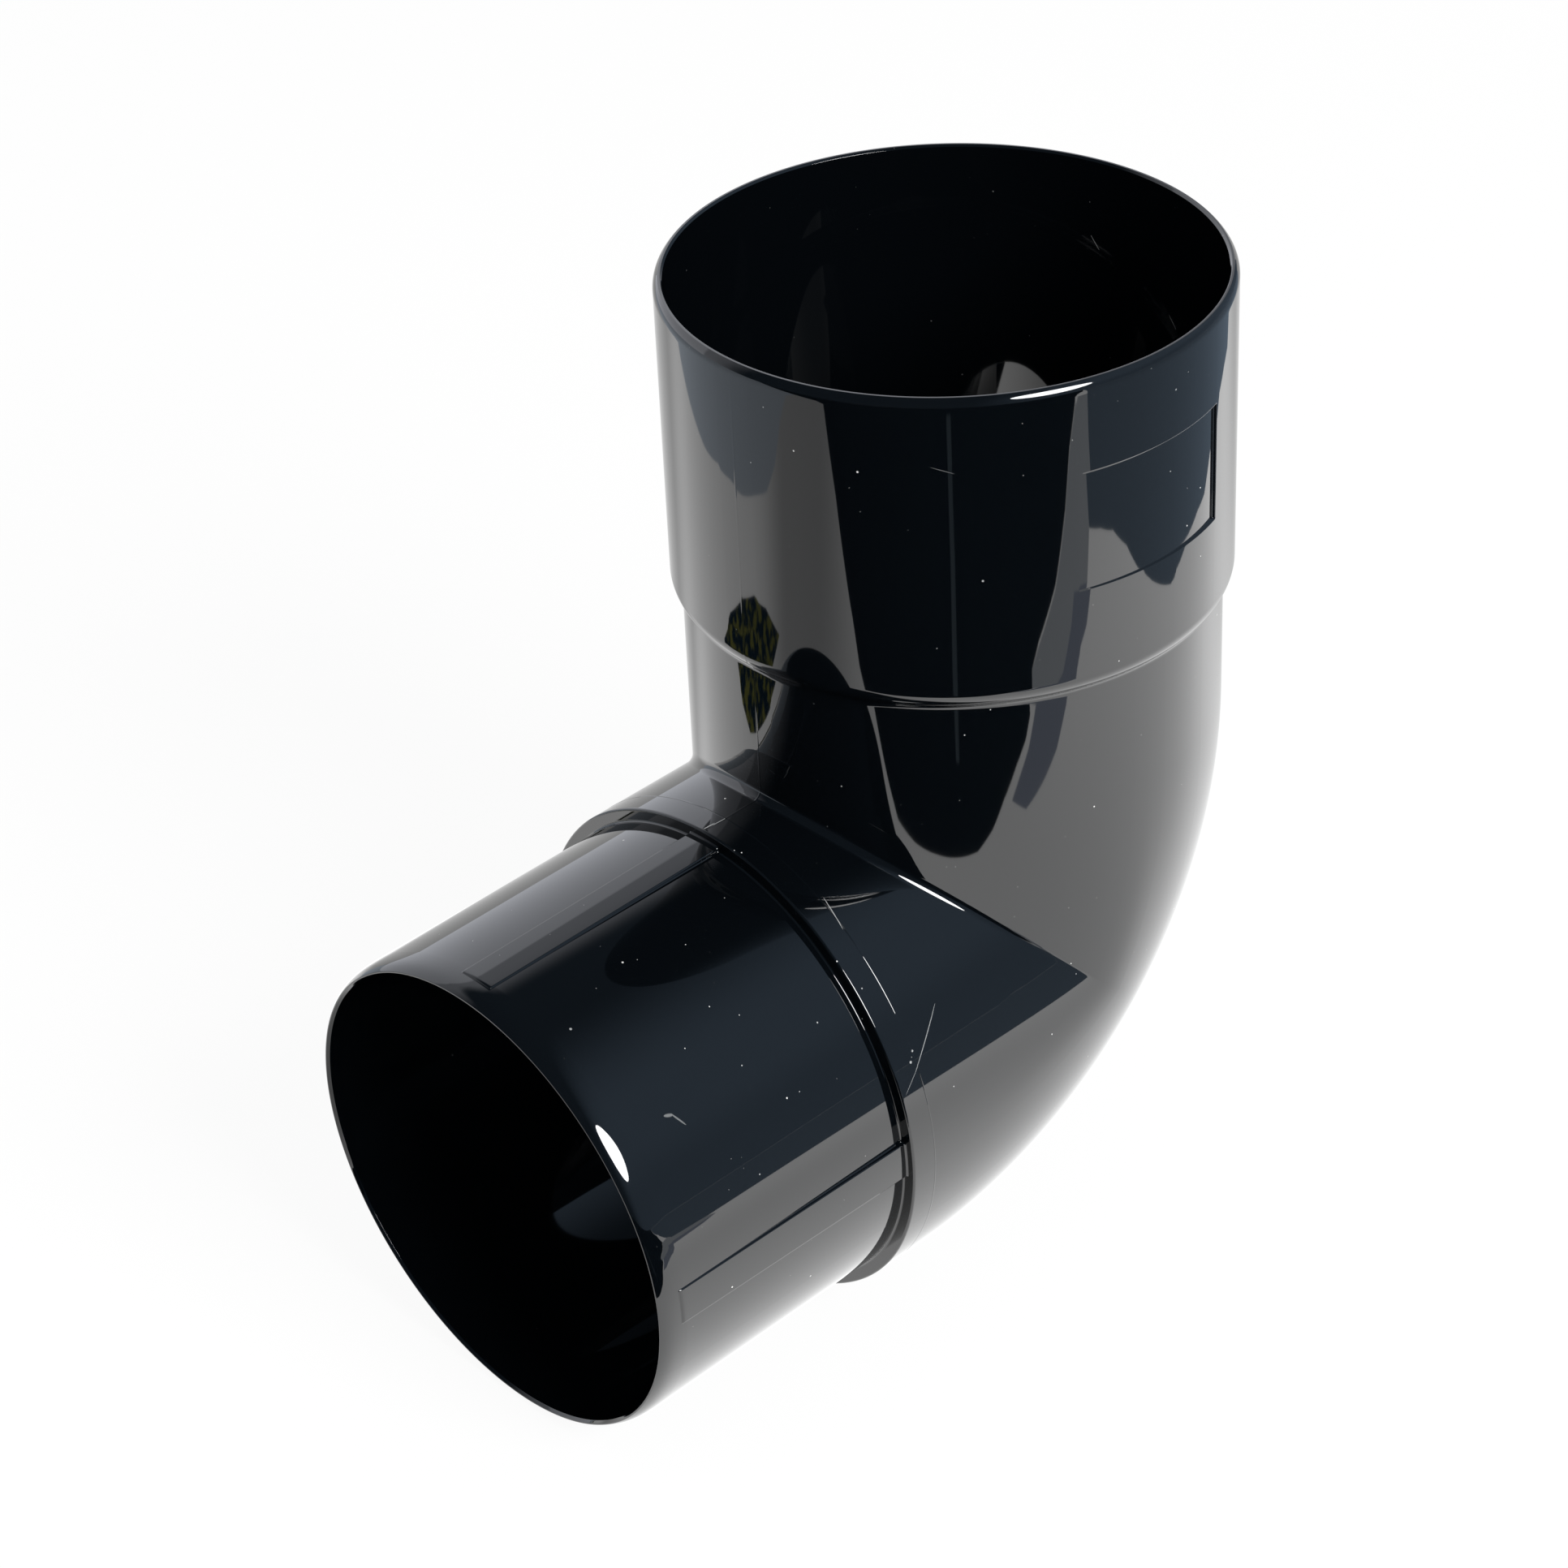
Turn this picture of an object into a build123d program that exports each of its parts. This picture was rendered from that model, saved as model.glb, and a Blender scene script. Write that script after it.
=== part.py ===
from build123d import *
import math
import os

# A bend for a round rainwater downpipe, moulded in one piece in hard plastic.
# The socket on top takes the end of a pipe. Below it the body turns towards the
# wall or the drain, and ends in a slimmer spigot that slides inside the next pipe
# until the pipe's end meets the shoulder. The inner side of the turn is a plain
# mitre of two round arms, and the outer side, the heel, is swept round an arc.
#
# All sizes are millimetres. The origin is the middle of the socket's mouth, and
# +Z is the socket's axis, pointing up and out of it. The spigot points to -X and
# falls a little, and the part is symmetric about the XZ plane but for its panel.

# What the bend joins: a plain pipe goes in the socket, and over the spigot
pipe_od = 80.0
pipe_wall = 1.8

# The turn: the angle between the two arms, and the arc of the heel's centre line
arm_angle = 92.5
heel_radius = 42.0
heel_play = 0.02

# Lengths along the two arms, from the mouths to the point where the axes cross
mouth_to_turn = 109.7
socket_depth = 46.6
turn_to_shoulder = 49.6
spigot_length = 46.6

# The socket
socket_play = 0.2
socket_wall = 1.45
lip_length = 2.0
lip_drop = 0.3
lip_bevel = 0.3
base_round = 2.9
base_steps = 3
base_drop = 0.2

# The body between the socket and the shoulder, as thick there as the pipe is round
shelf_width = 2.2
body_wall = 3.6

# The spigot: a straight tube with its end drawn in, and four wedge ribs
spigot_play = 0.3
lead_length = 4.3
lead_drop = 0.95
mouth_bevel = 0.35
rib_count = 4
rib_width = 6.0
rib_height = 0.7
rib_height_end = 0.15
rib_to_mouth = 3.4
shoulder_edge = 0.3
curve_steps = 2

# The bare panel sunk into one side of the socket, for a mark
panel_width = 28.0
panel_height = 18.5
panel_from_mouth = 13.8
panel_depth = 0.45

# Sizes that follow from the ones above
body_radius = pipe_od / 2
socket_bore = body_radius + socket_play
socket_radius = socket_bore + socket_wall
bore_radius = body_radius - body_wall
shelf_bore = socket_bore - shelf_width
spigot_radius = body_radius - pipe_wall - spigot_play
turn = 180.0 - arm_angle
tangent_length = heel_radius * math.tan(math.radians(turn / 2))
turn_z = -mouth_to_turn
base_top = -socket_depth + base_drop
spigot_reach = turn_to_shoulder + spigot_length
funnel_bottom = turn_z + tangent_length

# The frame of the spigot's arm: its local Z runs out along the spigot, and its
# local X points up, so that local Y is the part's own Y
fall = math.radians(arm_angle - 90.0)
out = Vector(-math.cos(fall), 0, -math.sin(fall))
up = Vector(-math.sin(fall), 0, math.cos(fall))
arm_plane = Plane(origin=(0, 0, turn_z), x_dir=up, z_dir=out)

# The plane on which the two arms meet, facing the socket's side
mitre_plane = Plane(
    origin=(0, 0, turn_z),
    x_dir=(0, 1, 0),
    z_dir=Vector(0, 0, 1) - out,
)


def elbow(radius, top_z, reach):
    """Two round arms mitred together, with the outer corner rounded to the heel.

    The heel's arc stands off the arms by heel_play, so that it crosses their
    surfaces at both ends instead of only touching them.
    """
    far = 3 * radius
    socket_arm = Pos(0, 0, top_z) * Cylinder(
        radius, top_z - turn_z + far, align=(Align.CENTER, Align.CENTER, Align.MAX)
    )
    spigot_arm = arm_plane * Pos(0, 0, reach) * Cylinder(
        radius, reach + far, align=(Align.CENTER, Align.CENTER, Align.MAX)
    )
    arms = split(socket_arm, bisect_by=mitre_plane, keep=Keep.TOP)
    arms += split(spigot_arm, bisect_by=mitre_plane, keep=Keep.BOTTOM)
    # What lies outside a round tube swept along the heel's arc is cut away
    start = Plane(origin=(0, 0, turn_z + tangent_length), x_dir=(1, 0, 0), z_dir=(0, 0, 1))
    waste = Rectangle(far, far, align=(Align.MIN, Align.CENTER)) - Circle(radius + heel_play)
    arc_axis = Axis((-heel_radius, 0, turn_z + tangent_length), (0, 1, 0))
    return arms - revolve(start * waste, axis=arc_axis, revolution_arc=turn)


def body():
    """The body's outer form, with the shoulder's sharp edge taken off."""
    form = elbow(body_radius, base_top, turn_to_shoulder)
    shoulder = form.faces().sort_by(Axis((0, 0, 0), out))[-1]
    return chamfer(shoulder.edges(), shoulder_edge)


def turned(points):
    """A solid of revolution about Z, from the corners of its outline in the XZ plane."""
    return revolve(make_face(Plane.XZ * Polyline(*points, close=True)), axis=Axis.Z)


def drawn_in(radius, start, drop, length):
    """Corners that leave a straight side at start and curve in by drop over length."""
    return [
        (radius - drop * (step / curve_steps) ** 2, start + length * step / curve_steps)
        for step in range(curve_steps + 1)
    ]


def socket_outside():
    """The socket's outer form: a round lip, a straight side and a rounded base."""
    lip = drawn_in(socket_radius, -lip_length, lip_drop, lip_length)
    full_turn = math.acos(1 - (socket_radius - body_radius) / base_round)
    base = [
        (
            socket_radius - base_round * (1 - math.cos(full_turn * step / base_steps)),
            base_top - base_round * math.sin(full_turn * step / base_steps),
        )
        for step in range(base_steps + 1)
    ]
    return turned(lip + [(0, 0), (0, base[-1][1])] + base[::-1])


def socket_inside():
    """The pipe's room in the socket, the shelf it stops on, and the funnel below."""
    return turned([
        (0, lip_length),
        (socket_bore + lip_bevel, lip_length),
        (socket_bore + lip_bevel, 0),
        (socket_bore, -lip_bevel),
        (socket_bore, -socket_depth),
        (shelf_bore, -socket_depth),
        (bore_radius, funnel_bottom),
        (0, funnel_bottom),
    ])


def spigot_outside():
    """The spigot and its ribs, along the local Z of the spigot's arm."""
    lead = drawn_in(spigot_radius, spigot_reach - lead_length, lead_drop, lead_length)
    root = turn_to_shoulder - body_wall
    spigot = turned(lead + [(0, spigot_reach), (0, root), (spigot_radius, root)])
    rib_length = spigot_length - rib_to_mouth
    wedge = Pos(0, 0, turn_to_shoulder) * Cone(
        spigot_radius + rib_height,
        spigot_radius + rib_height_end,
        rib_length,
        align=(Align.CENTER, Align.CENTER, Align.MIN),
    )
    for number in range(rib_count):
        bar = Rot(0, 0, 360 / rib_count * number) * Pos(0, 0, turn_to_shoulder) * Box(
            2 * spigot_radius,
            rib_width,
            rib_length,
            align=(Align.MIN, Align.CENTER, Align.MIN),
        )
        spigot += wedge & bar
    return arm_plane * spigot


def spigot_mouth():
    """The bevel that takes the bore's edge off at the spigot's end."""
    bevel_start = spigot_reach - mouth_bevel
    bevel = [(bore_radius, bevel_start), (bore_radius + mouth_bevel, spigot_reach)]
    return arm_plane * turned([(0, bevel_start)] + bevel + [(0, spigot_reach)])


def panel_pocket():
    """The sunk panel: as wide as its box, and running out to nothing at its left."""
    half = math.asin(panel_width / 2 / socket_radius)
    shift = panel_depth / math.sin(2 * half)
    panel = Pos(0, 0, -panel_from_mouth) * Box(
        panel_width,
        2 * socket_radius,
        panel_height,
        align=(Align.CENTER, Align.MAX, Align.MAX),
    )
    floor = Pos(-shift * math.cos(half), shift * math.sin(half), 0) * Cylinder(
        socket_radius, 2 * mouth_to_turn
    )
    return panel - floor


outside = body()
outside += socket_outside()
outside += spigot_outside()
inside = elbow(bore_radius, funnel_bottom, spigot_reach)
inside += socket_inside()
inside += spigot_mouth()
bend = outside - inside - panel_pocket()

os.makedirs("parts", exist_ok=True)
export_step(bend, "parts/downpipe_bend.step")
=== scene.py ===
# %% [markdown]
# # A downpipe offset bend in glossy black plastic
# The part is one hollow moulding: a socket on top, a body that turns through a
# mitre on its inner side and a swept heel on its outer side, and a slimmer spigot
# with four wedge ribs behind a shoulder. The packed CAD model is loaded first and
# fixes the frame and every size: metres, the origin in the middle of the socket's
# mouth, +Z up out of it. The surface built below keeps to that model's box.

# %% Load the frame
import math

import bpy
import numpy as np
from mathutils import Matrix, Vector


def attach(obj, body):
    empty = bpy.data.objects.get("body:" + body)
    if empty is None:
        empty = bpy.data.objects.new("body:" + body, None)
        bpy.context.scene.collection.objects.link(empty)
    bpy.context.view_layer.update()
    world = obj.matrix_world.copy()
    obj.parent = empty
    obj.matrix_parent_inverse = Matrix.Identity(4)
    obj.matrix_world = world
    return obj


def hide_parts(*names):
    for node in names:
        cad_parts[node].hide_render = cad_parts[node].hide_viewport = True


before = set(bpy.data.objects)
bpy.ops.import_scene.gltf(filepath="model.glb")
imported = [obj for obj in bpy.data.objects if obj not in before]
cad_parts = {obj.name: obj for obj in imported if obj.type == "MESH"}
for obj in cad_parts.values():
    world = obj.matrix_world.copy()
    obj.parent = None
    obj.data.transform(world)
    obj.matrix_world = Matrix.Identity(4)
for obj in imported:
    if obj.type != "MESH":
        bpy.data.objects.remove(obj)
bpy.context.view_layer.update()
MM = 0.001

# %% [markdown]
# ## Sizes
# These are the sizes of the CAD model, in millimetres, together with the small
# edge roundings that only a close look shows. Distances along the part are
# measured on its centre line: `t` starts at the socket's mouth, runs down to the
# turn, round it, and out along the spigot. A name that ends in R is a radius.

# %% Sizes in millimetres
TURN = math.radians(87.5)
HEEL = 42.0
MOUTH_TO_CORNER = 109.7
TANGENT = HEEL * math.tan(TURN / 2)
TURN_START = MOUTH_TO_CORNER - TANGENT
TURN_END = TURN_START + HEEL * TURN

SOCKET_R, SOCKET_BORE, SOCKET_DEPTH = 41.65, 40.2, 46.6
BODY_R, BORE, SHELF_R = 40.0, 36.4, 38.0
SPIGOT_R, LEAD_END_R, MOUTH_R = 37.9, 36.95, 36.75
SHOULDER = TURN_END + 49.6 - TANGENT
SPIGOT_END = SHOULDER + 46.6
LEAD_START = SPIGOT_END - 4.3
RIB_WIDTH, RIB_HIGH, RIB_LOW, RIB_END = 6.0, 0.7, 0.15, SPIGOT_END - 3.4
PANEL_X, PANEL_TOP, PANEL_BOTTOM, PANEL_DEEP = 14.0, 13.8, 32.3, 0.45
CREASE_ROUND = 1.5
RING_AT, RING_HIGH, SEAM_HIGH = SHOULDER - 4.3, 0.024, 0.01
print("centre line:", round(SPIGOT_END, 2), "mm, of which the turn is", round(HEEL * TURN, 2))

# %% [markdown]
# ## The way round the turn
# Both arms and the turn can share one rule. Take the line across the part about
# which the heel is swept, and look at the half plane that leaves it at an angle
# theta. In that plane the heel is a half circle, and the inner side is the flat
# continuation of each arm, so its distance grows as one over the cosine, up to
# the mitre in the middle. Writing it that way gives a grid with no seams: every
# ring has the same columns, from the heel (column 0) to the crease and back.

# %% Place rings along the centre line
def crease(rho, psi, alpha, half):
    """The inner wall's distance from the sweep line, with its mitre eased by a small arc.

    rho is the wall's nearest distance to the sweep line and psi the angle from the
    mitre. alpha is the angle round the ring: 0 in the part's middle, and a right
    angle at its side. half is half of the turn. The plain wall is at
    rho / cos(half - |psi|). Near the mitre it is replaced by the circle that touches
    both walls. Its radius shrinks towards the part's sides, because there the two
    walls meet at a flatter angle.
    """
    corner = rho / np.cos(half)
    spread = np.arccos(np.sin(alpha) ** 2 + math.cos(TURN) * np.cos(alpha) ** 2)
    slope = math.tan(half)
    radius = CREASE_ROUND * np.tan(spread / 2) * np.sqrt(1 + (slope * np.sin(alpha)) ** 2) / slope
    radius = np.minimum(radius, 0.9 * rho)
    wall_angle = math.pi / 2 - half
    centre = corner - radius / math.sin(wall_angle)
    touch = radius / math.tan(wall_angle)
    edge = np.arctan2(touch * math.sin(wall_angle), corner - touch * math.cos(wall_angle))
    plain = rho / np.cos(half - np.abs(psi))
    inside = np.maximum(radius**2 - (centre * np.sin(psi)) ** 2, 0)
    arc = centre * np.cos(psi) + np.sqrt(inside)
    return np.where(np.abs(psi) < edge, np.minimum(arc, plain), plain)


BLEND, BLEND_SPAN = 5.0, 24


def place(t, radius, phi):
    """Points of rings about the centre line, all arguments being arrays that match.

    Down the socket's arm a point is (r cos phi, r sin phi, -t). In the turn the
    ring's half plane stands at theta = (t - start) / heel radius about the sweep
    line. The ring's width across the part is r sin alpha, where alpha follows phi
    but stops short of a right angle by as much as the heel's arc cuts off there.
    The outer and inner halves are blended by BLEND degrees, within BLEND_SPAN
    degrees of the part's side, so that no sharp edge stays.
    """
    half = TURN / 2
    theta = np.clip((t - TURN_START) / HEEL, 0, TURN)
    near = half - np.abs(theta - half)
    cut = HEEL * np.tan(near / 2) ** 2
    widest = np.arccos(cut / radius)
    fold = np.arccos(np.cos(phi))
    past_side = np.degrees(fold) - 90
    ease = BLEND * np.clip(1 - (past_side / BLEND_SPAN) ** 2, 0, 1) * np.clip(near / half, 0, 1)
    soft = np.sqrt(past_side**2 + ease**2)
    alpha = widest * (1 - soft / 90)
    inner_part = 0.5 + 0.5 * np.divide(past_side, soft, out=np.zeros_like(soft), where=soft > 1e-9)
    wide = radius * np.cos(alpha)
    side = radius * np.sin(alpha) * np.where(np.sin(phi) < 0, -1.0, 1.0)
    inner = crease(HEEL - wide, theta - half, alpha, half)
    rho = (1 - inner_part) * (HEEL + wide) + inner_part * inner
    before = np.maximum(TURN_START - t, 0)
    after = np.maximum(t - TURN_END, 0)
    x_out = -HEEL + rho * np.cos(theta) - after * math.sin(TURN)
    z_out = -TURN_START - rho * np.sin(theta) + before - after * math.cos(TURN)
    return np.stack([x_out, side, z_out], axis=-1)


mid_turn = np.array([TURN_START + HEEL * TURN / 2])
crotch = place(mid_turn, np.array([BODY_R]), np.array([math.pi]))
print("crotch point, mm:", crotch.round(2))

# %% [markdown]
# ## The outline that is carried along
# Seen in one cut through the wall, the moulding is a closed outline: out over the
# socket's lip, down its side, round the base, along the body, over the shoulder,
# along the spigot, round its mouth and back up the bore to the shelf and the
# socket. Corners get small arcs, and each straight stretch gets an extra point
# close to both ends, so that the smooth shading of an edge doesn't bleed along it.

# %% Corners and arcs of an outline
def eased(points, steps=5, guard=0.12):
    """A closed outline from (t, radius, rounding) corners.

    Each corner becomes an arc that touches both of its sides, and takes no more than
    0.45 of either. guard adds a point on each side just past the arc's ends.
    """
    corners = np.array(points, float)
    spots, rounding = corners[:, :2], corners[:, 2]
    out = []
    for k in range(len(corners)):
        here, back, ahead = spots[k], spots[k - 1], spots[(k + 1) % len(corners)]
        a, b = back - here, ahead - here
        long_a, long_b = np.linalg.norm(a), np.linalg.norm(b)
        a, b = a / long_a, b / long_b
        opening = math.acos(float(np.clip(a @ b, -1, 1)))
        if rounding[k] <= 0 or opening > math.pi - 0.01:
            out.append(here[None])
            continue
        reach = min(rounding[k] / math.tan(opening / 2), 0.45 * long_a, 0.45 * long_b)
        radius = reach * math.tan(opening / 2)
        middle = here + (a + b) / np.linalg.norm(a + b) * radius / math.sin(opening / 2)
        first, last = here + a * reach - middle, here + b * reach - middle
        span = math.pi - opening
        u = np.linspace(0, 1, steps)[:, None]
        arc = middle + (np.sin((1 - u) * span) * first + np.sin(u * span) * last) / math.sin(span)
        out.append(here + a * (reach + min(guard, 0.2 * long_a)))
        out.append(arc)
        out.append(here + b * (reach + min(guard, 0.2 * long_b)))
    return np.concatenate([np.atleast_2d(piece) for piece in out])


def arc_between(start, end, radius, side, steps):
    """Points on an arc of this radius between two (t, radius) points.

    It bulges outwards where side is 1, and inwards where side is -1.
    """
    start, end = np.array(start), np.array(end)
    chord = end - start
    length = np.linalg.norm(chord)
    normal = np.array([-chord[1], chord[0]]) / length * side
    centre = (start + end) / 2 - normal * math.sqrt(radius**2 - (length / 2) ** 2)
    first = math.atan2(*(start - centre)[::-1])
    last = math.atan2(*(end - centre)[::-1])
    last = first + (last - first + math.pi) % (2 * math.pi) - math.pi
    angles = np.linspace(first, last, steps)
    return centre + radius * np.stack([np.cos(angles), np.sin(angles)], axis=1)


print("a quarter turn:", arc_between((0.0, 1.0), (1.0, 0.0), 1.0, 1, 3).round(2).tolist())

# %% [markdown]
# ## Round stretches
# A polished part shows every break in its curve as a line in its reflections. The
# socket's base is an arc that bulges, and it runs smoothly into a hollow one at the
# body. The lip is one arc. The spigot's end is drawn in along an exponential, which
# leaves the straight side gently and steepens towards the mouth. Its rings are
# closer together where the ribs end.

# %% The lip, the base and the spigot's end
BASE_TOP, BASE_ROUND, ROOT_ROUND = 46.4, 2.9, 1.3
LIP_ROUND, LIP_LENGTH, LIP_DEGREES = 2.0, 1.6, 50
LEAD_FADE = 1.15

root_rise = BODY_R + ROOT_ROUND - (SOCKET_R - BASE_ROUND)
root_t = BASE_TOP + math.sqrt((BASE_ROUND + ROOT_ROUND) ** 2 - root_rise**2)
share = BASE_ROUND / (BASE_ROUND + ROOT_ROUND)
meet = (BASE_TOP + share * (root_t - BASE_TOP), SOCKET_R - BASE_ROUND + share * root_rise)
base_arc = arc_between((BASE_TOP, SOCKET_R), meet, BASE_ROUND, 1, 10)
root_arc = arc_between(meet, (root_t, BODY_R), ROOT_ROUND, -1, 7)

lip_angles = np.radians(np.linspace(LIP_DEGREES, 0, 11))
lip_t = LIP_LENGTH - LIP_ROUND * np.sin(lip_angles)
lip_arc = np.stack([lip_t, SOCKET_R - LIP_ROUND * (1 - np.cos(lip_angles))], axis=1)

to_end = np.array([
    4.3, 3.9, 3.52, 3.42, 3.3, 3.18, 3.0, 2.7, 2.4, 2.1, 1.85,
    1.6, 1.4, 1.2, 1.0, 0.85, 0.7, 0.55, 0.4, 0.25, 0.12, 0,
])
fade = np.exp(-to_end / LEAD_FADE)
drawn = (fade - fade[0]) / (1 - fade[0])
lead_arc = np.stack([SPIGOT_END - to_end, SPIGOT_R - (SPIGOT_R - LEAD_END_R) * drawn], axis=1)
print("the base's arcs meet at", np.round(meet, 2), "and end at", round(root_t, 2), "mm")


# %% The wall's outline
def stretch(t0, t1, step):
    """Evenly spaced places between t0 and t1, ends left out."""
    count = max(int(abs(t1 - t0) / step), 1)
    return np.linspace(t0, t1, count + 1)[1:-1]


def around_turn(count, fine, crowding=2.2):
    """Places in the turn, closer together by the crease in its middle."""
    u = np.linspace(-1, 1, count)
    bend = np.sign(u) * (fine * np.abs(u) + (1 - fine) * np.abs(u) ** crowding)
    return TURN_START + HEEL * TURN * (0.5 + 0.5 * bend)


def run(values, radius):
    """Outline corners at these places, all at one radius and with no rounding."""
    values = np.atleast_1d(values)
    return [(float(v), radius, 0.0) for v in values]


def along_arc(points):
    """Outline corners from an arc's points, which need no rounding of their own."""
    return [(t, radius, 0.0) for t, radius in points]


NEAR, FAR = 0.15, 1.0
TOP_SLOPE, LOW_SLOPE = 0.12, 0.16
RING_SHAPE = ((-0.14, 0), (-0.07, 0), (-0.025, RING_HIGH), (0.025, RING_HIGH), (0.07, 0), (0.14, 0))
panel_top_rows = [PANEL_TOP + step for step in (-0.05, 0, TOP_SLOPE, TOP_SLOPE + 0.1)]
panel_low_rows = [PANEL_BOTTOM + step for step in (-LOW_SLOPE - 0.1, -LOW_SLOPE, 0, 0.08)]

# The socket's outside, from the lip to the base
outline = [(0.0, SOCKET_BORE + 0.3, 0.15), (0.0, lip_arc[0][1] - 0.06, 0.1)]
outline += along_arc(lip_arc)
outline += run([LIP_LENGTH + 0.3, 8.0] + panel_top_rows, SOCKET_R)
outline += run(stretch(PANEL_TOP + 0.4, PANEL_BOTTOM - 0.3, 3), SOCKET_R)
outline += run(panel_low_rows + [38.0, 44.0, BASE_TOP - NEAR], SOCKET_R)
outline += along_arc(base_arc[:-1]) + along_arc(root_arc)
# The body, round the turn and past the mould line's ring to the shoulder
outline += run([root_t + NEAR, root_t + FAR], BODY_R)
outline += run(stretch(root_t + FAR, TURN_START, 4), BODY_R)
outline += run(around_turn(85, 0.12), BODY_R)
outline += run(stretch(TURN_END, RING_AT, 2), BODY_R)
outline += [(RING_AT + step, BODY_R + high, 0.0) for step, high in RING_SHAPE]
outline += run([RING_AT + 1.5], BODY_R)
outline += [(SHOULDER, BODY_R, 0.3), (SHOULDER, SPIGOT_R, 0.3)]
# The spigot and its mouth
outline += run(stretch(SHOULDER + FAR, RIB_END - FAR, 4), SPIGOT_R)
outline += run([LEAD_START - 0.1], SPIGOT_R)
outline += along_arc(lead_arc[:-1])
outline += [(SPIGOT_END, LEAD_END_R, 0.12), (SPIGOT_END, MOUTH_R, 0.05), (SPIGOT_END - 0.4, BORE, 0.1)]
# Back through the bore to the shelf and the socket
outline += run(stretch(SPIGOT_END - FAR, TURN_END, 6), BORE)
outline += run(around_turn(41, 0.3)[::-1], BORE)
outline += [(SOCKET_DEPTH, SHELF_R, 0.2), (SOCKET_DEPTH, SOCKET_BORE, 0.3)]
outline += run(stretch(SOCKET_DEPTH - FAR, FAR, 6), SOCKET_BORE)
outline += [(0.3, SOCKET_BORE, 0.1)]
wall = eased(outline)
print("outline points:", len(wall))

# %% [markdown]
# ## Columns and small forms
# Columns are evenly spaced but for the edges of the ribs and of the sunken panel,
# which get a few close together. A rib or the panel is then only a change of
# radius on the same grid. A rib is a wedge: highest at the shoulder, lowest at its
# outer end. The panel is part of a slightly shifted cylinder, so it is deepest at
# its right edge and runs out to nothing at its left. The mould line is a very low
# ridge along the middle of the inner side.

# %% Columns round the part
EDGE_COLUMNS = np.array([-0.2, -0.1, -0.03, 0.04, 0.15])
SEAM_COLUMNS = np.array([-0.24, -0.15, -0.075, 0.075, 0.15, 0.24])


def near_edges(centre, offset, radius):
    """Column angles close to both edges of a strip that is centred on an angle."""
    swing = np.arcsin((offset + EDGE_COLUMNS) / radius)
    return np.concatenate([centre - swing, centre + swing])


rib_angles = np.radians([0.0, 90.0, 180.0, 270.0])
columns = [np.radians(np.arange(0, 360, 1.5))]
columns += [near_edges(angle, RIB_WIDTH / 2, SPIGOT_R) for angle in rib_angles]
columns += [near_edges(math.radians(270), PANEL_X, SOCKET_R)]
columns += [math.pi + SEAM_COLUMNS / SOCKET_R]
columns = np.unique(np.round(np.concatenate(columns) % (2 * math.pi), 6))
apart = np.append(np.diff(columns) > math.radians(0.08), True)
columns = columns[apart]
print("columns:", len(columns), "rings:", len(wall), "triangles:", 2 * len(columns) * len(wall))


# %% Ribs, panel and mould line as a change of radius
EDGE_OUT, EDGE_SLOPE, RUNOUT_SLOPE = 0.04, 0.14, 0.24
SEAM_HALF, SEAM_SLOPE = 0.15, 0.08
ELSEWHERE = 1e3


def ramp(value):
    """0 below 0, 1 above 1, and a smooth step between."""
    value = np.clip(value, 0, 1)
    return value * value * (3 - 2 * value)


def beside(angle):
    """How far the spigot's points are, sideways, from the middle of the rib at this angle."""
    swing = (PHI - angle + math.pi) % (2 * math.pi) - math.pi
    return np.abs(SPIGOT_R * np.sin(swing)) + ELSEWHERE * (np.cos(PHI - angle) < 0)


T, PHI = np.meshgrid(wall[:, 0], columns, indexing="ij")
R = np.repeat(wall[:, 1:2], len(columns), axis=1)
is_outer = np.arange(len(wall)) < int(np.argmax(wall[:, 0]))
outer = is_outer[:, None] & np.ones_like(T, bool)

rib_top = RIB_HIGH + (RIB_LOW - RIB_HIGH) * (T - SHOULDER) / (RIB_END - SHOULDER)
from_rib = np.min([beside(angle) for angle in rib_angles], axis=0)
on_rib = ramp((RIB_WIDTH / 2 + EDGE_OUT - from_rib) / EDGE_SLOPE) * ramp((RIB_END + 0.1 - T) / 0.22)
climb = np.where(T < SHOULDER + 1e-6, np.clip((BODY_R - R) / (BODY_R - SPIGOT_R), 0, 1), 1.0)
on_spigot = outer & (T > SHOULDER - 1e-6)
R = R + np.where(on_spigot, rib_top * on_rib * climb, 0)

across = SOCKET_R * np.cos(PHI)
half_panel = math.asin(PANEL_X / SOCKET_R)
shift = PANEL_DEEP / math.sin(2 * half_panel)
sunk = shift * np.cos(PHI + half_panel)
in_panel = (np.sin(PHI) < 0) & (np.abs(across) <= PANEL_X + 0.3)
edges = ramp((PANEL_X + EDGE_OUT - across) / EDGE_SLOPE) * ramp((across + PANEL_X) / RUNOUT_SLOPE)
edges = edges * ramp((T - PANEL_TOP) / TOP_SLOPE) * ramp((PANEL_BOTTOM - T) / LOW_SLOPE)
on_socket = outer & (T < BASE_TOP) & in_panel
R = R - np.where(on_socket, np.clip(sunk, 0, PANEL_DEEP) * edges, 0)

from_seam = np.abs(SOCKET_R * np.sin(PHI)) + ELSEWHERE * (np.cos(PHI) > 0)
seam = SEAM_HIGH * ramp((SEAM_HALF - from_seam) / SEAM_SLOPE)
seam = seam * ramp((SHOULDER - 1 - T) / 1.0) * ramp((T - 2.2) / 1.0)
R = R + np.where(outer, seam, 0)
print("rib tops stand out by", round(float((R - SPIGOT_R)[on_spigot & (T > SHOULDER + 0.5)].max()), 3), "mm")

# %% [markdown]
# ## The surface
# Each point of the grid is joined to its neighbours on the ring and on the next
# ring, and the last ring to the first, so the mesh is closed. A number on each
# point, open_air, says if it is on the outside, where the dust settles.

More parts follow.
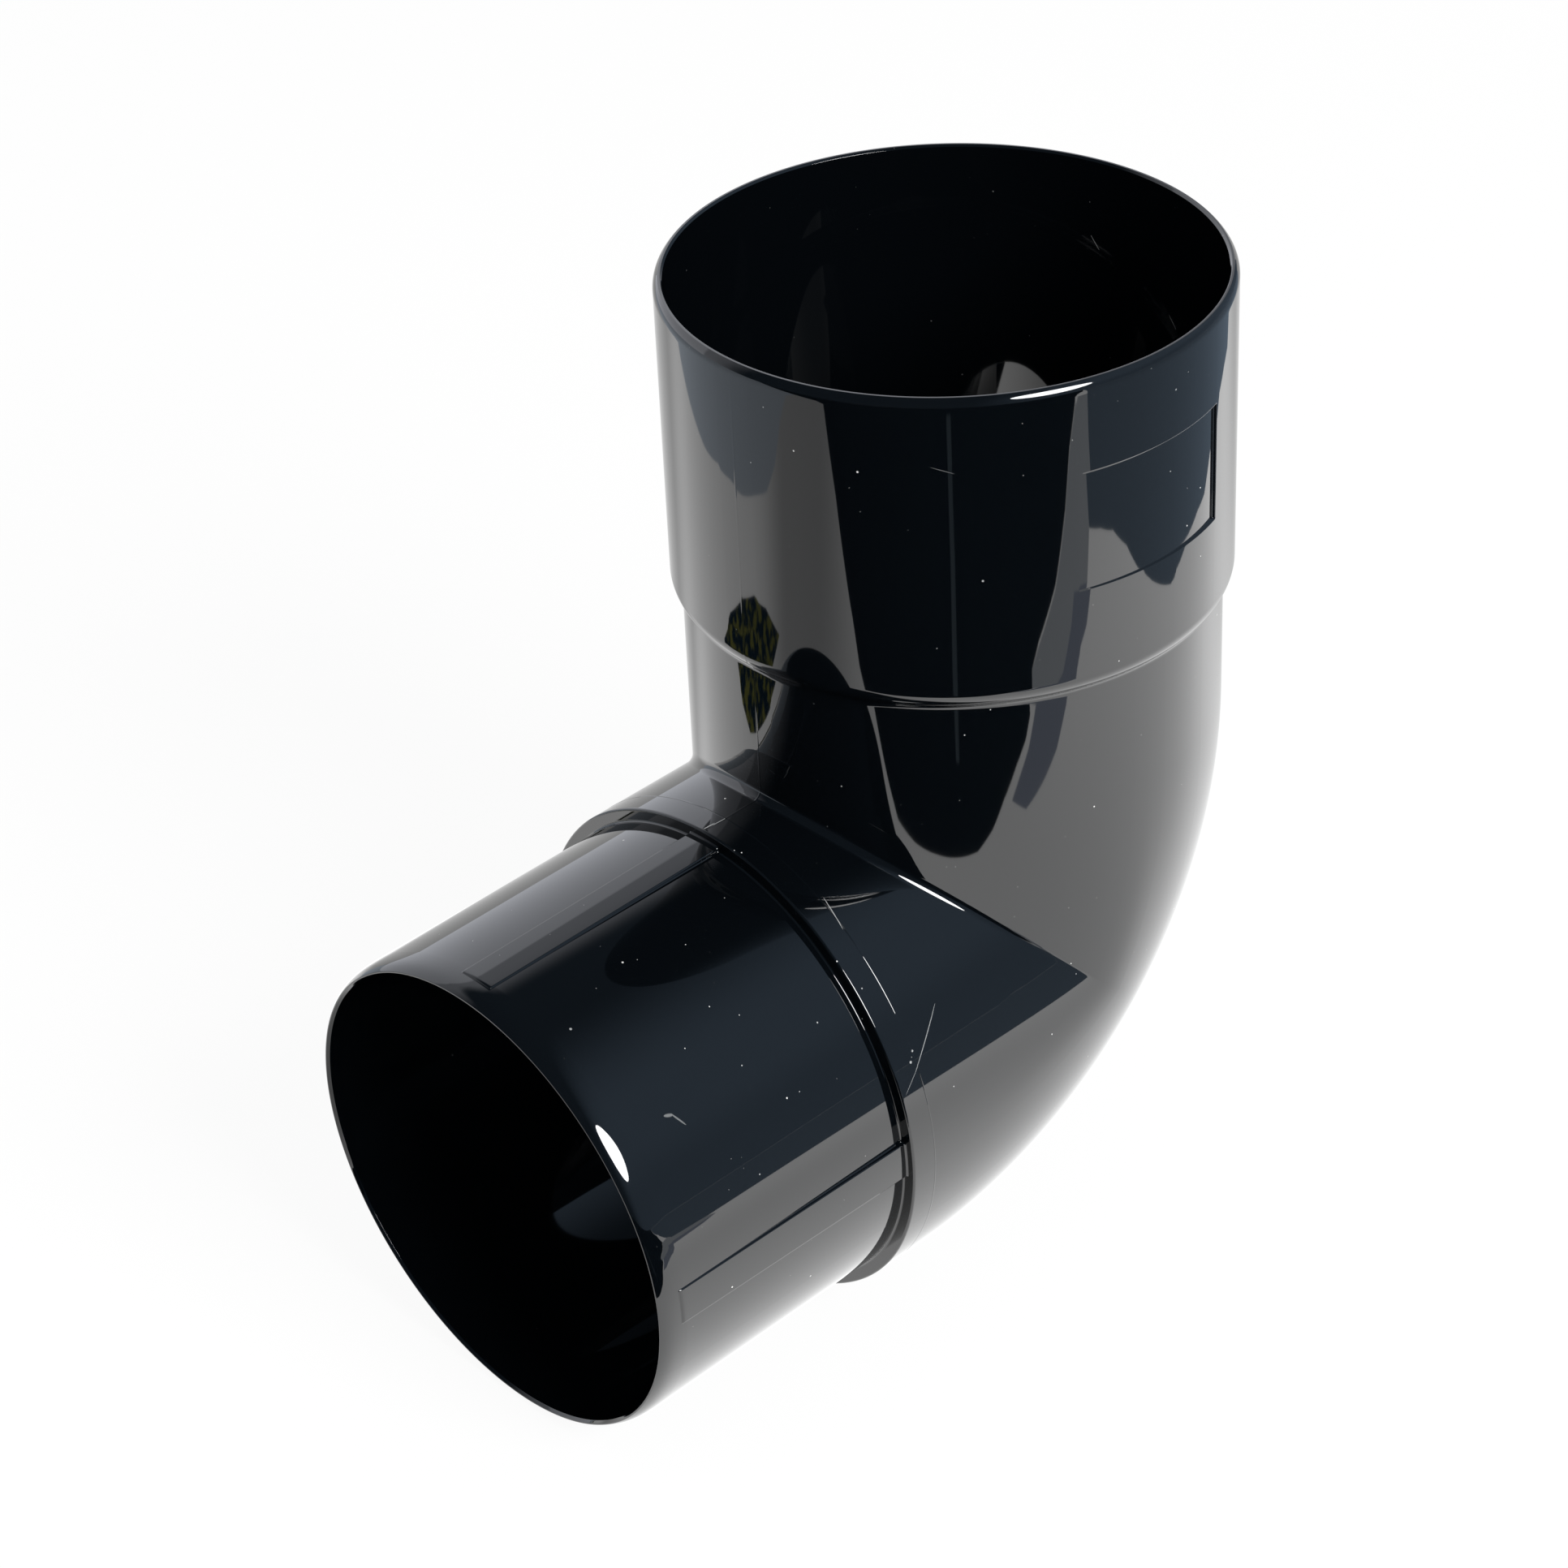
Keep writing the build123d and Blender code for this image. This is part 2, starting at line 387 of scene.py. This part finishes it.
# %% Make the surface
def grid_mesh(name, points):
    """A closed surface from a grid of points, joined to itself both ways, faces outwards."""
    rows, cols = points.shape[:2]
    index = np.arange(rows * cols).reshape(rows, cols)
    right = np.roll(index, -1, axis=1)
    below = np.roll(index, -1, axis=0)
    corner = np.roll(right, -1, axis=0)
    quads = np.stack([index, below, corner, right], axis=-1).reshape(-1, 4)
    mesh = bpy.data.meshes.new(name)
    mesh.from_pydata((points.reshape(-1, 3) * MM).tolist(), [], quads.tolist())
    mesh.polygons.foreach_set("use_smooth", np.ones(len(quads), bool))
    mesh.update()
    thing = bpy.data.objects.new(name, mesh)
    bpy.context.scene.collection.objects.link(thing)
    return thing


points = place(T, R, PHI)
bend = grid_mesh("bend_surface", points)
air_mark = bend.data.attributes.new("open_air", "FLOAT", "POINT")
air_mark.data.foreach_set("value", np.repeat(is_outer, len(columns)).astype(np.float32))
faces = np.array([list(p.vertices) for p in bend.data.polygons])
co = points.reshape(-1, 3)
a, b, c, d = (co[faces[:, k]] for k in range(4))
volume = (np.einsum("ij,ij->i", a, np.cross(b, c)) + np.einsum("ij,ij->i", a, np.cross(c, d))).sum() / 6
print("volume, cm3:", round(volume / 1000, 2), "positive means that the faces point outwards")
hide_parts("downpipe_bend")
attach(bend, "root")

# %% [markdown]
# ## Shader maths as sums
# The finish and the studio are both patterns worked out from coordinates. Written
# as plain Python sums they can be read like any formula. A small class wraps one
# socket of a node tree, and each operator adds the Math node that does it. Any
# other node comes from one method, which takes the node's type, its settings and
# the values or links of its sockets.

# %% A socket that can be used in sums
class Shade:
    """One output of a node tree, or the tree itself when it holds no socket."""

    def __init__(self, tree, socket=None):
        self.tree, self.socket = tree, socket

    def node(self, kind, settings=None, values=None, out=0):
        """Add a node of this kind: first its settings, then what its sockets get."""
        made = self.tree.nodes.new(kind)
        for name, value in (settings or {}).items():
            setattr(made, name, value)
        for name, value in (values or {}).items():
            if isinstance(value, Shade):
                self.tree.links.new(value.socket, made.inputs[name])
            else:
                made.inputs[name].default_value = value
        return Shade(self.tree, made.outputs[out] if made.outputs else None)

    def output(self, name):
        """Another output of the node that this socket belongs to."""
        return Shade(self.tree, self.socket.node.outputs[name])

    def math(self, operation, *others):
        return self.node("ShaderNodeMath", {"operation": operation}, dict(enumerate((self, *others))))

    def reflected(self, operation, other):
        return self.node("ShaderNodeMath", {"operation": operation}, {0: other, 1: self})

    def __add__(self, other):
        return self.math("ADD", other)

    def __sub__(self, other):
        return self.math("SUBTRACT", other)

    def __mul__(self, other):
        return self.math("MULTIPLY", other)

    def __truediv__(self, other):
        return self.math("DIVIDE", other)

    def __rsub__(self, other):
        return self.reflected("SUBTRACT", other)

    def __rtruediv__(self, other):
        return self.reflected("DIVIDE", other)

    __radd__ = __add__
    __rmul__ = __mul__

    def size(self):
        return self.math("ABSOLUTE")

    def least(self, other):
        return self.math("MINIMUM", other)

    def most(self, other):
        return self.math("MAXIMUM", other)

    def step(self, low, high, start=0.0, end=1.0):
        """A smooth climb from start, below low, to end, above high."""
        values = {"Value": self, "From Min": low, "From Max": high, "To Min": start, "To Max": end}
        return self.node("ShaderNodeMapRange", {"interpolation_type": "SMOOTHSTEP"}, values)

    def vector(self, operation, *others, out=0):
        values = dict(enumerate((self, *others)))
        return self.node("ShaderNodeVectorMath", {"operation": operation}, values, out)

    def dot(self, other):
        return self.vector("DOT_PRODUCT", other, out="Value")

    def less(self, other):
        return self.vector("SUBTRACT", other)

    def length(self):
        return self.vector("LENGTH", out="Value")

    def mix(self, first, second):
        """A colour between two, by this value as the share of the second."""
        return self.node("ShaderNodeMix", {"data_type": "RGBA"}, {0: self, 6: first, 7: second}, out=2)

    def axes(self):
        """The three parts of a vector."""
        split = self.node("ShaderNodeSeparateXYZ", values={"Vector": self})
        return [split.output(name) for name in "XYZ"]


def open_tree(owner):
    """An empty node tree of a material or world, ready for new nodes."""
    owner.use_nodes = True
    owner.node_tree.nodes.clear()
    return Shade(owner.node_tree)


abilities = sorted(name for name, value in vars(Shade).items() if callable(value))
print("what a socket can do:", ", ".join(abilities))

# %% [markdown]
# ## The finish
# The plastic is black all through and comes out of a polished mould, so nearly all
# that is seen of it is the room mirrored in a clear, hard surface. A smooth base
# with a low roughness gives that. Three small things keep it from looking perfect.
# Very shallow waves from moulding bend the mirrored edges a little. A few hazy
# patches from handling make it rougher. Dust sits on it as small pale dots, which
# are the places where the surface cuts random points that are scattered through
# space.

# %% Plastic, haze and dust
plastic = bpy.data.materials.new("gloss_black_plastic")
finish = open_tree(plastic)
spot = finish.node("ShaderNodeTexCoord", out="Object")


def noise(scale, detail):
    return finish.node("ShaderNodeTexNoise", values={"Vector": spot, "Scale": scale, "Detail": detail})


def dust(scale, smallest, largest):
    """Dots of random size: the parts of the surface that are near scattered points.

    There are scale points to a metre each way, and a dot's radius is from smallest
    to largest millimetres.
    """
    cells = finish.node("ShaderNodeTexVoronoi", values={"Vector": spot, "Scale": scale})
    chance = cells.output("Color").axes()[0]
    reach = chance * chance * (largest - smallest) * scale * MM + smallest * scale * MM
    return (cells.output("Distance") / reach).step(0.7, 1.0, 1.0, 0.0)


open_air = finish.node("ShaderNodeAttribute", {"attribute_name": "open_air"}, out="Fac")
specks = dust(300.0, 0.02, 0.18).most(dust(520.0, 0.01, 0.08) * 0.5) * (open_air * 0.75 + 0.1)
haze = noise(24.0, 3.0).step(0.50, 0.72)
print("haze and dust:", len(finish.tree.nodes), "nodes")

# %% [markdown]
# ## Scratches and scuffs
# The marks of use are put where the part has them: a long scratch with chips at
# its lower end on the arm, a nick across the arm's top, scuffs by the parting
# line and on the spigot, and hairlines on the socket. Each is a straight stroke
# on the surface. With a as its start, t its direction, n the surface's normal and
# m = n x t, a point p is on it where |(p - a) . m| is below the stroke's half
# width, which tapers to nothing at both ends.

# %% Strokes and chips
# name: start, end and the surface's normal there, then half width and strength
STROKES = {
    "arm long": ((-39.26, -34.64, -91.40), (-46.4, -37.66, -98.25), (-0.02, -0.91, 0.41), 0.09, 0.55),
    "arm tail": ((-45.6, -37.45, -97.6), (-49.14, -38.39, -100.60), (-0.02, -0.95, 0.32), 0.07, 0.35),
    "arm nick": ((-46.2, -19.5, -76.8), (-46.85, -24.1, -79.8), (-0.04, -0.55, 0.83), 0.08, 0.7),
    "seam scuff": ((-50.88, 0.45, -71.89), (-48.78, 0.3, -71.80), (-0.04, 0.01, 1.0), 0.12, 0.8),
    "seam scuff end": ((-49.3, 0.15, -71.81), (-47.0, 0.0, -71.72), (-0.04, 0.01, 1.0), 0.09, 0.7),
    "dark scuff": ((-47.11, 4.9, -72.02), (-46.91, 2.3, -71.79), (-0.04, 0.09, 1.0), 0.08, 0.2),
    "spigot scuff": ((-86.1, -28.9, -88.9), (-84.7, -29.2, -89.3), (-0.03, -0.77, 0.64), 0.30, 0.3),
    "spigot scuff end": ((-85.0, -29.0, -89.0), (-83.6, -30.6, -90.9), (-0.03, -0.79, 0.62), 0.16, 0.3),
    "socket hairline": ((-30.97, -27.84, -10.11), (-28.70, -30.18, -11.16), (-0.72, -0.69, 0.0), 0.05, 0.3),
    "bore hairline": ((39.24, 8.73, -12.42), (39.6, 7.3, -14.5), (-0.98, -0.2, 0.0), 0.08, 0.5),
    "bore hairline low": ((39.62, -6.77, -20.58), (39.25, -8.6, -22.3), (-0.99, 0.19, 0.0), 0.08, 0.5),
}
# where a chip is: how far it reaches
CHIPS = {
    (-45.84, -36.54, -95.42): 0.22, (-46.72, -37.06, -96.69): 0.26, (-46.3, -36.9, -96.1): 0.12,
    (-49.37, -30.30, -85.72): 0.15, (-57.22, -29.25, -88.08): 0.16, (-90.24, -15.12, -78.86): 0.24,
    (-71.37, -28.85, -88.21): 0.14, (-75.41, -36.03, -101.21): 0.14, (2.95, -41.54, -6.59): 0.16,
    (-41.52, -3.32, -14.17): 0.12, (-26.00, -32.54, -28.09): 0.2,
}


def stroke(start, end, normal, half_width, strength, depth=2.5):
    """How strong one scratch is at each point. It stays within depth of its surface."""
    start, end, normal = (Vector(v) * MM for v in (start, end, normal))
    normal.normalize()
    along = (end - start).normalized()
    across = normal.cross(along)
    share = spot.dot(along / (end - start).length) - start.dot(along) / (end - start).length
    taper = (share * (1.0 - share)).most(0.0).math("SQRT") * (2 * half_width * MM) + 1e-8
    off = (spot.dot(across) - start.dot(across)).size()
    beyond = ((spot.dot(normal) - start.dot(normal)).size() - depth * MM).most(0.0)
    return (2.0 - (off + beyond) / taper * 2.0).most(0.0).least(1.0) * strength


marks = None
for start, end, normal, half_width, strength in STROKES.values():
    mark = stroke(start, end, normal, half_width, strength)
    marks = mark if marks is None else marks.most(mark)
for centre, reach in CHIPS.items():
    from_centre = spot.less(Vector(centre) * MM).length()
    marks = marks.most(from_centre.step(0.5 * reach * MM, reach * MM, 0.7, 0.0))
print(len(STROKES), "strokes,", len(CHIPS), "chips,", len(finish.tree.nodes), "nodes")

# %% [markdown]
# ## All of it together
# The scraped plastic is pale grey, and the dust lies on top of it. Both dull the
# surface where they are. The waves go in a Bump node, since they are far too
# shallow to be seen as shape.

# %% Put the finish together
BLACK, SCRAPED, DUST = (0.0010, 0.0015, 0.0021, 1), (0.34, 0.35, 0.35, 1), (0.55, 0.55, 0.54, 1)
POLISHED, HAZED, DULLED = 0.025, 0.02, 0.5
WAVES_PER_METRE, WAVE_MM = 32.0, 0.05
colour = specks.mix(marks.mix(BLACK, SCRAPED), DUST)
roughness = haze * HAZED + POLISHED + marks.most(specks) * DULLED
waves = {"Height": noise(WAVES_PER_METRE, 1.0), "Strength": 1.0, "Distance": WAVE_MM * MM}
ripple = finish.node("ShaderNodeBump", values=waves)
skin = {"Base Color": colour, "Roughness": roughness, "Normal": ripple, "IOR": 1.54}
shell = finish.node("ShaderNodeBsdfPrincipled", values=skin)
finish.node("ShaderNodeOutputMaterial", values={"Surface": shell})
bend.data.materials.append(plastic)
print("the finish has", len(finish.tree.nodes), "nodes")

# %% [markdown]
# ## The camera
# Its place, aim and lens come from fitting the part's own edges in the photograph.

# %% Camera
camera_place = Vector((-0.38356, -0.39108, 0.26635))
image_right = Vector((0.7286, -0.6838, -0.0405))
image_down = Vector((-0.3959, -0.3722, -0.8395))
view_ahead = Vector((0.5590, 0.6277, -0.5419))
LENS_PIXELS, PHOTO_PIXELS = 5251.5, 1932
camera_data = bpy.data.cameras.new("camera")
camera_data.sensor_width = 36.0
camera_data.lens = LENS_PIXELS / PHOTO_PIXELS * camera_data.sensor_width
camera_data.clip_start = 0.01
camera = bpy.data.objects.new("camera", camera_data)
facing = Matrix((image_right, -image_down, -view_ahead)).transposed()
camera.matrix_world = Matrix.Translation(camera_place) @ facing.to_4x4()
bpy.context.scene.collection.objects.link(camera)
bpy.context.scene.camera = camera
print("lens, mm:", round(camera_data.lens, 2))

# %% [markdown]
# ## The floor
# A polished black part shows its surroundings more than itself, so the studio is
# built for what it mirrors. The floor is a wide white sheet. The camera sees it as
# plain white with a light shadow. In the part's surface it shows painted light: a
# glow that is brighter towards the lamp's side and dimmer away from it, as measured
# from the photo's reflections divided by the share of light that such a surface
# reflects.

# %% Floor
FLOOR_Z, FLOOR_HALF = -0.1521, 3.0
TO_LAMP, BACK_LEFT = (0.10, -0.966), (-0.574, 0.819)
WHITE = (1.0, 1.0, 1.0, 1)


def flat_sheet(name, outline_mm, lift_mm=0.0):
    """A flat sheet from its corners, in millimetres, lying that far above the floor."""
    mesh = bpy.data.meshes.new(name)
    corners = [(x * MM, y * MM, FLOOR_Z + lift_mm * MM) for x, y in outline_mm]
    mesh.from_pydata(corners, [], [tuple(range(len(corners)))])
    sheet = bpy.data.objects.new(name, mesh)
    bpy.context.scene.collection.objects.link(sheet)
    return sheet


def ray_kinds(tree):
    """How much a ray is one that the camera sees by, and how much a mirrored one."""
    rays = tree.node("ShaderNodeLightPath")
    seen = rays.output("Is Camera Ray").most(rays.output("Is Transmission Ray"))
    return seen, rays.output("Is Glossy Ray")


edge = FLOOR_HALF / MM
floor = flat_sheet("floor", [(-edge, -edge), (edge, -edge), (edge, edge), (-edge, edge)])
paper = bpy.data.materials.new("studio_floor")
sheet_look = open_tree(paper)
x, y, _ = sheet_look.node("ShaderNodeTexCoord", out="Object").axes()
near_lamp = x * TO_LAMP[0] + y * TO_LAMP[1]
round_left = (x * BACK_LEFT[0] + y * BACK_LEFT[1]) / (x * x + y * y).math("SQRT")
# painted light: in reflections the floor glows brighter towards the lamp's side and to the back left
painted_floor_light = near_lamp.step(-0.05, 0.08, 0.85, 2.35) + near_lamp.step(0.12, 0.24, 0.0, 0.45)
painted_floor_light = painted_floor_light + round_left.step(0.80, 0.94, 0.0, 0.85)
glow = sheet_look.node("ShaderNodeEmission", values={"Color": WHITE, "Strength": painted_floor_light})
plain = sheet_look.node("ShaderNodeEmission", values={"Color": WHITE, "Strength": 1.0})
paper_white = sheet_look.node("ShaderNodeBsdfDiffuse", values={"Color": (0.85, 0.85, 0.85, 1)})
by_camera, by_mirror = ray_kinds(sheet_look)
surface = sheet_look.node("ShaderNodeMixShader", values={0: by_camera * 0.93, 1: paper_white, 2: plain})
surface = sheet_look.node("ShaderNodeMixShader", values={0: by_mirror, 1: surface, 2: glow})
sheet_look.node("ShaderNodeOutputMaterial", values={"Surface": surface})
floor.data.materials.append(paper)
print("floor:", 2 * FLOOR_HALF, "m across, at z =", FLOOR_Z)

# %% [markdown]
# ## Dark cards
# The dark shapes in the socket and the body come from flat cards just above the
# floor, seen only in reflections: things that stand on the white sheet, the dim
# room past it, and half_shade, which is painted half shade. Each card's corners come
# from following rays from the camera to the edge of a dark shape on the part, and on
# from there to the floor. The widest is a near-black card in front, where the camera
# stands, and the next is the dim room past the end of the table.

# %% Cards on the floor
# name: colour, strength, and corners in millimetres
HIDDEN_FROM = ("camera", "diffuse", "transmission", "volume_scatter", "shadow")
MOTTLE_DARK, MOTTLE_LIGHT = (0.05, 0.12, 0.2, 1), (1.0, 1.0, 0.25, 1)
CARDS = {
    "dim_room": ((0.30, 0.39, 0.50), 1.0, [
        (44, -330), (42, -300), (42, -262), (63, -256), (86, -246), (108, -227), (121, -208), (136, -188),
        (161, -158), (192, -136), (222, -96), (234, -74), (258, -52), (280, -36), (291, -12), (297, 8),
        (400, 60), (2900, 700), (2900, -2900), (300, -2900)]),
    # painted half shade: a dimmer card on the sheet where it lies in half shade
    "half_shade": ((0.95, 1.0, 1.06), 1.22, [
        (13, -320), (0, -299), (-10, -273), (-28, -244), (-52, -220), (-62, -207), (-58, -195), (-47, -196),
        (-16, -213), (-3, -230), (2, -242), (33, -241), (42, -262), (42, -300), (44, -330)]),
    "dim_strip": ((0.70, 0.77, 0.95), 1.0, [
        (2, -242), (-3, -230), (-16, -213), (-47, -196), (-54, -179), (-63, -166), (-69, -156), (-53, -158),
        (-33, -172), (-18, -183), (-5, -198), (4, -214), (22, -227), (33, -241)]),
    "far_left": ((0.80, 0.89, 1.0), 1.0, [
        (-70, 300), (-98, 274), (-137, 239), (-167, 216), (-191, 191), (-209, 166), (-229, 143), (-246, 121),
        (-266, 108), (-293, 100), (-307, 90), (-345, 80), (-2900, 500), (-2900, 2900), (600, 2900),
        (-40, 335)]),
    # a near-black card in front, where the camera stands
    "front_dark": ((0.4, 0.6, 0.9), 0.012, [
        (-319, 3), (-281, -16), (-255, -26), (-232, -35), (-213, -41), (-200, -49), (-177, -56), (-165, -60),
        (-151, -65), (-137, -78), (-122, -94), (-108, -108), (-93, -123), (-84, -137), (-77, -152),
        (-67, -168), (-58, -180), (-54, -190), (-58, -200), (-60, -208), (-52, -220), (-28, -244),
        (-10, -273), (0, -299), (13, -320), (60, -640), (300, -2900), (-2900, -2900), (-2900, 1500)]),
    # a thin pale line across the near-black card in front
    "front_line": ((0.8, 1.0, 1.15), 0.21, [
        (-228, -226), (-183.5, -184.5), (-154, -154), (-129, -131), (-126, -133.5), (-149.5, -158.5),
        (-178.5, -189.5), (-222, -232)]),
    "mottled_thing": ((0.6, 0.62, 0.3), 0.27, [
        (-125, 158), (-146, 157), (-170, 145), (-188, 128), (-199, 106), (-202, 82), (-185, 88), (-164, 94),
        (-150, 99), (-136, 106), (-125, 115), (-122, 135)]),
}
for lift, (name, (colour, level, outline_mm)) in enumerate(CARDS.items()):
    card = flat_sheet(name, outline_mm, 0.3 * (lift + 1))
    for rays in HIDDEN_FROM:
        setattr(card, "visible_" + rays, False)
    board = bpy.data.materials.new(name + "_card")
    card_look = open_tree(board)
    tint = (*colour, 1)
    if name == "mottled_thing":
        where = card_look.node("ShaderNodeTexCoord", out="Object")
        mottle = {"Vector": where, "Scale": 160.0, "Detail": 3.0}
        speckle = card_look.node("ShaderNodeTexNoise", values=mottle)
        tint = speckle.step(0.46, 0.60).mix(MOTTLE_DARK, MOTTLE_LIGHT)
    glow = card_look.node("ShaderNodeEmission", values={"Color": tint, "Strength": level})
    card_look.node("ShaderNodeOutputMaterial", values={"Surface": glow})
    card.data.materials.append(board)
print(len(CARDS), "cards")

# %% [markdown]
# ## The room
# Above the floor the part mirrors a nearly black room, which turns blue-grey to the
# right and brighter higher up, and a bright wall behind the part. The wall's left
# part is softly lit, it has one sharp upright edge, and it ends high up. The camera
# sees pure white, and matt surfaces get an even light.

# %% World
RIGHT, BEHIND = (0.64, -0.77, 0.0), (0.174, 0.985, 0.0)
UNLIT, BLUE_GREY, BRIGHT = (0.055, 0.075, 0.10, 1), (0.33, 0.44, 0.58, 1), (1.46, 1.50, 1.62, 1)
EVEN_LIGHT = (0.6, 0.6, 0.6, 1)
world = bpy.data.worlds.new("studio")
bpy.context.scene.world = world
sky = open_tree(world)
way = sky.node("ShaderNodeTexCoord", out="Generated")
height = way.axes()[2]
right = way.dot(RIGHT).step(0.20, 0.75) * height.step(0.20, 0.50, 0.74, 1.0)
room = right.mix(UNLIT, BLUE_GREY)
behind = way.dot(BEHIND)
lit_wall = behind.step(0.40, 0.68, 0.0, 0.56) + behind.step(0.715, 0.735, 0.0, 0.44)
room = (lit_wall * height.step(0.70, 0.80, 1.0, 0.0)).mix(room, BRIGHT)
by_camera, by_mirror = ray_kinds(sky)
all_round = by_mirror.mix(by_camera.mix(EVEN_LIGHT, WHITE), room)
background = sky.node("ShaderNodeBackground", values={"Color": all_round, "Strength": 1.0})
sky.node("ShaderNodeOutputWorld", values={"Surface": background})
print("the room has", len(sky.tree.nodes), "nodes")

# %% [markdown]
# ## The lamp
# One round soft box, low and to the camera's right, gives every highlight: the leaf
# on the spigot's edge, the line on the socket's lip, and the streaks on the crease
# and by the shoulder.

# %% Lamp
PART_MIDDLE = Vector((0, 0, -0.07))


def lamp(name, azimuth, elevation, distance, width, height, radiance):
    """A soft box that faces the part. Its power is pi times its area times its radiance."""
    a, e = math.radians(azimuth), math.radians(elevation)
    out = Vector((math.cos(e) * math.cos(a), math.cos(e) * math.sin(a), math.sin(e)))
    data = bpy.data.lights.new(name, "AREA")
    data.shape = "ELLIPSE"
    data.size, data.size_y = width, height
    data.energy = math.pi * (math.pi / 4 * width * height) * radiance
    box = bpy.data.objects.new(name, data)
    aim = out.to_track_quat("Z", "Y").to_matrix().to_4x4()
    box.matrix_world = Matrix.Translation(out * distance + PART_MIDDLE) @ aim
    box.visible_camera = False
    bpy.context.scene.collection.objects.link(box)
    return box


window = lamp("window", azimuth=-93, elevation=33, distance=1.5, width=0.76, height=0.70, radiance=26.0)
bpy.context.scene.view_settings.view_transform = "Standard"
print("lamp:", round(window.data.energy, 1), "W")

# %% [markdown]
